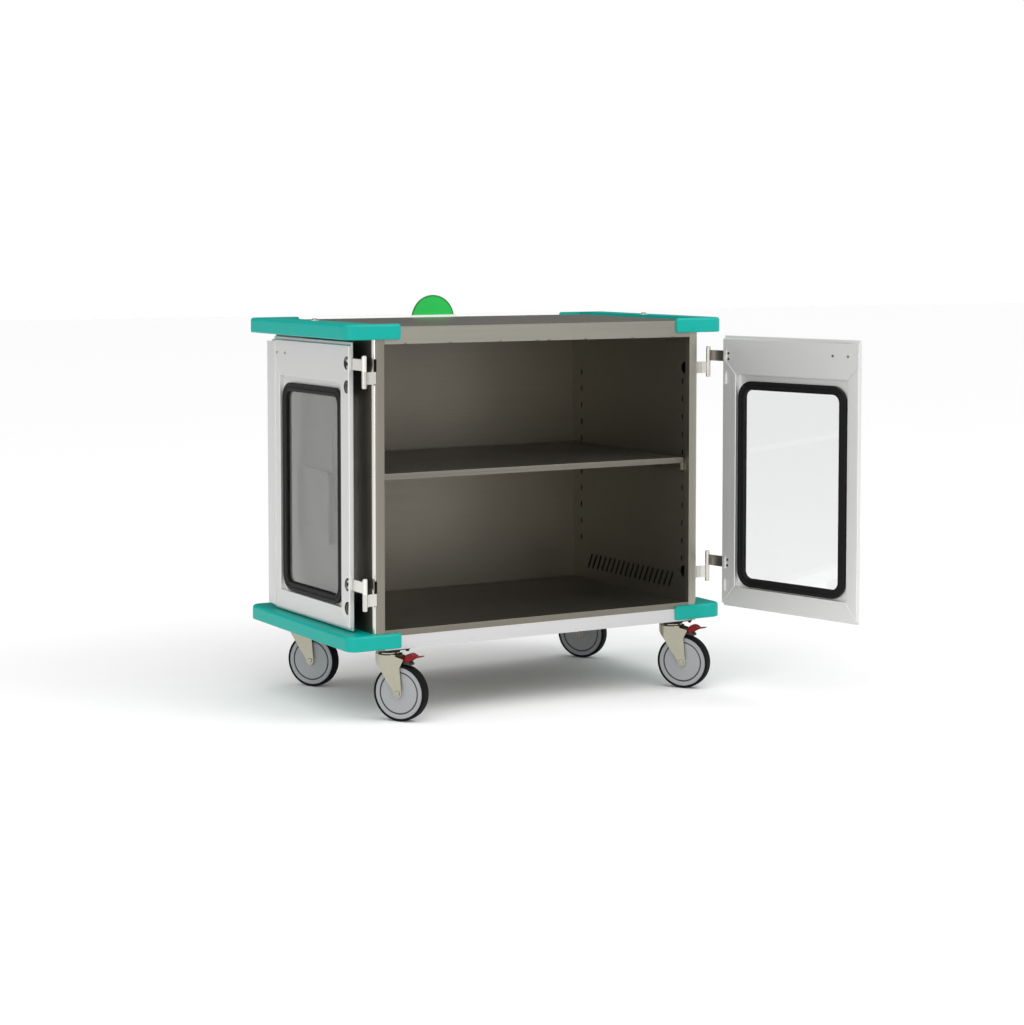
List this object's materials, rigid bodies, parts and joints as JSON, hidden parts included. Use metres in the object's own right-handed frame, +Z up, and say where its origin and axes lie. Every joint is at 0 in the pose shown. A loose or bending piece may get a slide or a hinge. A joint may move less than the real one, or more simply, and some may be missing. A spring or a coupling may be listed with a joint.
{
  "type": "closed case cart",
  "caption": "Mobile closed cabinet with two glazed doors, a pull-out shelf, end bumpers, a round status disc and swivel casters with brakes.",
  "frame": {"origin": "on the floor below the middle of the cabinet", "axes": "+X to the right seen from the doors, doors face -Y, +Z up"},
  "size_m": [1.2538, 1.1601, 1.0985],
  "materials": {
    "stainless": "satin",
    "aluminium": "satin anodised",
    "door_aluminium": "satin anodised",
    "zinc_steel": "zinc plated",
    "bumper_plastic": "moulded",
    "seal_rubber": "moulded",
    "window_clear": "clear polycarbonate",
    "pedal_red": "moulded",
    "disc_green": "moulded",
    "bracket_white": "powder coated",
    "tyre_rubber": "moulded",
    "wheel_nylon": "moulded"
  },
  "bodies": {
    "cart": {"base_front_rail": "aluminium", "base_rails": "aluminium", "bottom_bumper_left": "bumper_plastic", "bottom_bumper_right": "bumper_plastic", "bumper_studs": "stainless", "caster_cross_members": "aluminium", "caster_plates": "zinc_steel", "disc_bracket": "bracket_white", "document_pocket": "stainless", "floor_pan": "stainless", "front_post_left": "stainless", "front_post_right": "stainless", "hinge_cabinet_leaves": "zinc_steel", "rear_frame": "stainless", "rear_panel": "stainless", "shelf_fixed_rails": "zinc_steel", "side_skins": "stainless", "top_bumper_left": "bumper_plastic", "top_bumper_right": "bumper_plastic", "top_deck": "stainless", "top_front_rail": "stainless", "wall_liners": "stainless"},
    "left_door": {"left_door_hinge_leaves": "zinc_steel", "left_door_latch_plate": "stainless", "left_door_panel": "door_aluminium", "left_door_rails": "door_aluminium", "left_door_stiles": "door_aluminium", "left_door_stop_strip": "stainless", "left_door_window": "window_clear", "left_door_window_seal": "seal_rubber"},
    "right_door": {"right_door_hinge_leaves": "zinc_steel", "right_door_latch_plate": "stainless", "right_door_panel": "door_aluminium", "right_door_rails": "door_aluminium", "right_door_stiles": "door_aluminium", "right_door_window": "window_clear", "right_door_window_seal": "seal_rubber"},
    "caster_front_left": {"caster_fork_front_left": "zinc_steel"},
    "wheel_front_left": {"wheel_hub_front_left": "wheel_nylon", "tyre_front_left": "tyre_rubber"},
    "caster_front_right": {"caster_fork_front_right": "zinc_steel"},
    "wheel_front_right": {"wheel_hub_front_right": "wheel_nylon", "tyre_front_right": "tyre_rubber"},
    "caster_rear_left": {"caster_fork_rear_left": "zinc_steel"},
    "wheel_rear_left": {"wheel_hub_rear_left": "wheel_nylon", "tyre_rear_left": "tyre_rubber"},
    "caster_rear_right": {"caster_fork_rear_right": "zinc_steel"},
    "wheel_rear_right": {"wheel_hub_rear_right": "wheel_nylon", "tyre_rear_right": "tyre_rubber"},
    "pedal_front_left": {"brake_pedal_front_left": "pedal_red"},
    "pedal_front_right": {"brake_pedal_front_right": "pedal_red"},
    "left_handle": {"left_door_handle": "stainless"},
    "left_bolt": {"left_door_bolt": "zinc_steel"},
    "right_handle": {"right_door_handle": "stainless"},
    "right_bolt": {"right_door_bolt": "zinc_steel"},
    "shelf": {"shelf": "stainless", "shelf_runners": "zinc_steel"},
    "middle_rails": {"shelf_middle_rails": "zinc_steel"},
    "status_disc": {"status_disc": "disc_green"}
  },
  "joints": [
    {"name": "left_door_hinge", "type": "hinge", "parent": "cart", "child": "left_door", "pos_m": [-0.5369, -0.3172, 0.62], "axis": [0, 0, 1], "range_deg": [-1, 269]},
    {"name": "right_door_hinge", "type": "hinge", "parent": "cart", "child": "right_door", "pos_m": [0.5369, -0.3172, 0.62], "axis": [0, 0, -1], "range_deg": [-166.1, 103.9]},
    {"name": "shelf_slide", "type": "slide", "parent": "cart", "child": "shelf", "axis": [0, 1, 0], "range_m": [-0.233, 0]},
    {"name": "middle_rail_slide", "type": "slide", "parent": "cart", "child": "middle_rails", "axis": [0, 1, 0], "range_m": [-0.1165, 0]},
    {"name": "status_disc_turn", "type": "hinge", "parent": "cart", "child": "status_disc", "pos_m": [0, 0.318, 1.028], "axis": [0, 1, 0], "range_deg": [0, 180]},
    {"name": "left_handle_turn", "type": "hinge", "parent": "left_door", "child": "left_handle", "pos_m": [-0.55736, 0.15591, 0.95], "axis": [0.9998, 0.0175, 0], "range_deg": [0, 90]},
    {"name": "left_bolt_slide", "type": "slide", "parent": "left_door", "child": "left_bolt", "axis": [0, 0, 1], "range_m": [0, 0.009]},
    {"name": "right_handle_turn", "type": "hinge", "parent": "right_door", "child": "right_handle", "pos_m": [0.63878, -0.77967, 0.95], "axis": [-0.9707, -0.2402, 0], "range_deg": [0, 90]},
    {"name": "right_bolt_slide", "type": "slide", "parent": "right_door", "child": "right_bolt", "axis": [0, 0, 1], "range_m": [0, 0.009]},
    {"name": "front_left_swivel", "type": "hinge", "parent": "cart", "child": "caster_front_left", "pos_m": [-0.447, -0.271, 0.18], "axis": [0, 0, 1], "continuous": true},
    {"name": "front_left_roll", "type": "hinge", "parent": "caster_front_left", "child": "wheel_front_left", "pos_m": [-0.4252, -0.30213, 0.075], "axis": [0.8192, 0.5736, 0], "continuous": true},
    {"name": "front_left_brake", "type": "hinge", "parent": "caster_front_left", "child": "pedal_front_left", "pos_m": [-0.4275, -0.29885, 0.161], "axis": [0.8192, 0.5736, 0], "range_deg": [0, 6]},
    {"name": "front_right_swivel", "type": "hinge", "parent": "cart", "child": "caster_front_right", "pos_m": [0.447, -0.271, 0.18], "axis": [0, 0, 1], "continuous": true},
    {"name": "front_right_roll", "type": "hinge", "parent": "caster_front_right", "child": "wheel_front_right", "pos_m": [0.4688, -0.30213, 0.075], "axis": [0.8192, 0.5736, 0], "continuous": true},
    {"name": "front_right_brake", "type": "hinge", "parent": "caster_front_right", "child": "pedal_front_right", "pos_m": [0.4665, -0.29885, 0.161], "axis": [0.8192, 0.5736, 0], "range_deg": [0, 6]},
    {"name": "rear_left_swivel", "type": "hinge", "parent": "cart", "child": "caster_rear_left", "pos_m": [-0.447, 0.271, 0.18], "axis": [0, 0, 1], "continuous": true},
    {"name": "rear_left_roll", "type": "hinge", "parent": "caster_rear_left", "child": "wheel_rear_left", "pos_m": [-0.4252, 0.23987, 0.075], "axis": [0.8192, 0.5736, 0], "continuous": true},
    {"name": "rear_right_swivel", "type": "hinge", "parent": "cart", "child": "caster_rear_right", "pos_m": [0.447, 0.271, 0.18], "axis": [0, 0, 1], "continuous": true},
    {"name": "rear_right_roll", "type": "hinge", "parent": "caster_rear_right", "child": "wheel_rear_right", "pos_m": [0.4688, 0.23987, 0.075], "axis": [0.8192, 0.5736, 0], "continuous": true}
  ],
  "couplings": [
    {"joint": "middle_rail_slide", "follows": "shelf_slide", "ratio": 0.5},
    {"joint": "left_bolt_slide", "follows": "left_handle_turn", "m_per_rad": 0.0057296},
    {"joint": "right_bolt_slide", "follows": "right_handle_turn", "m_per_rad": 0.0057296}
  ]
}
